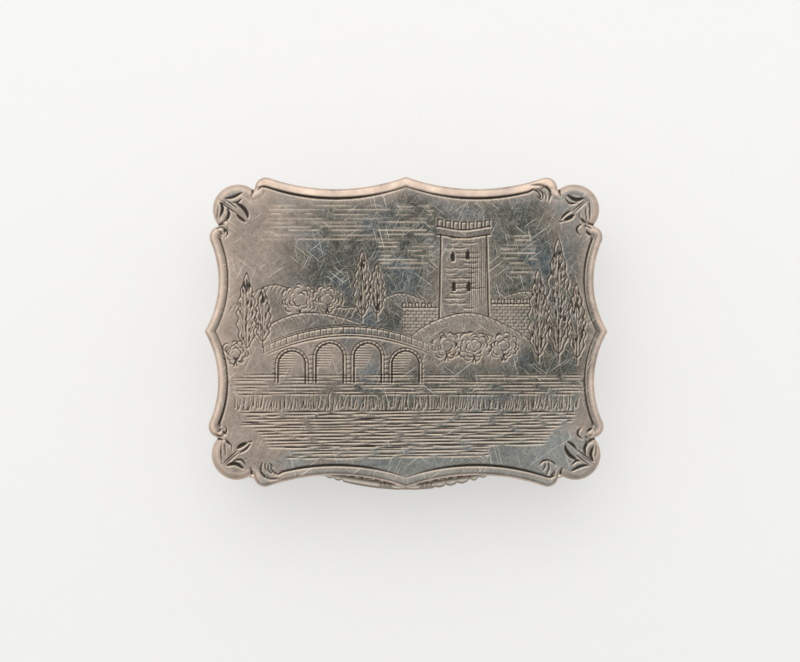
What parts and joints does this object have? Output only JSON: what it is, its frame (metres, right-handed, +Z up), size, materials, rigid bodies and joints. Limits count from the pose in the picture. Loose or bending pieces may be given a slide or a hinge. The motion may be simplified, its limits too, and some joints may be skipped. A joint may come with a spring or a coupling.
{
  "type": "silver vinaigrette",
  "caption": "Small shaped silver box with a hinged lid, a cast thumbpiece and, inside, a hinged pierced gilt grille over a scented sponge.",
  "frame": {"origin": "centre of the base plate's underside, midway between the side points of the lid", "axes": "+X along the box's length, +Y towards the hinge at the back, +Z up through the lid; the thumbpiece is at -Y"},
  "size_m": [0.044, 0.0341, 0.0122],
  "materials": {
    "silver": "worn and tarnished silver",
    "cast_silver": "cast silver, bright on its high parts",
    "gilt": "soft fire gilding over silver",
    "pin": "drawn silver wire",
    "sponge": "dry natural sponge"
  },
  "bodies": {
    "box": {"base_plate": "silver", "body_wall": "silver", "bezel": "gilt", "grille_ledge": "gilt", "box_hinge_bearer": "gilt", "box_hinge_knuckle_1": "silver", "box_hinge_knuckle_2": "silver", "box_hinge_knuckle_3": "silver", "hinge_pin": "pin", "grille_hinge_bearer": "gilt", "grille_box_knuckle_1": "gilt", "grille_box_knuckle_2": "gilt", "grille_pin": "pin", "sponge": "sponge"},
    "lid": {"lid_top": "silver", "lid_rim": "silver", "lid_hinge_bearer": "gilt", "lid_hinge_knuckle_1": "silver", "lid_hinge_knuckle_2": "silver", "thumbpiece": "cast_silver"},
    "grille": {"grille_plate": "gilt", "grille_knuckle": "gilt", "grille_lift_tab": "gilt"}
  },
  "joints": [
    {"name": "lid_hinge", "type": "hinge", "parent": "box", "child": "lid", "pos_m": [0, 0.01479, 0.00822], "axis": [-1, 0, 0], "range_deg": [0, 110]},
    {"name": "grille_hinge", "type": "hinge", "parent": "box", "child": "grille", "pos_m": [0, 0.0121, 0.00693], "axis": [-1, 0, 0], "range_deg": [0, 82.5]}
  ],
  "couplings": [
    {"joint": "grille_hinge", "follows": "lid_hinge", "ratio": 0.75}
  ]
}
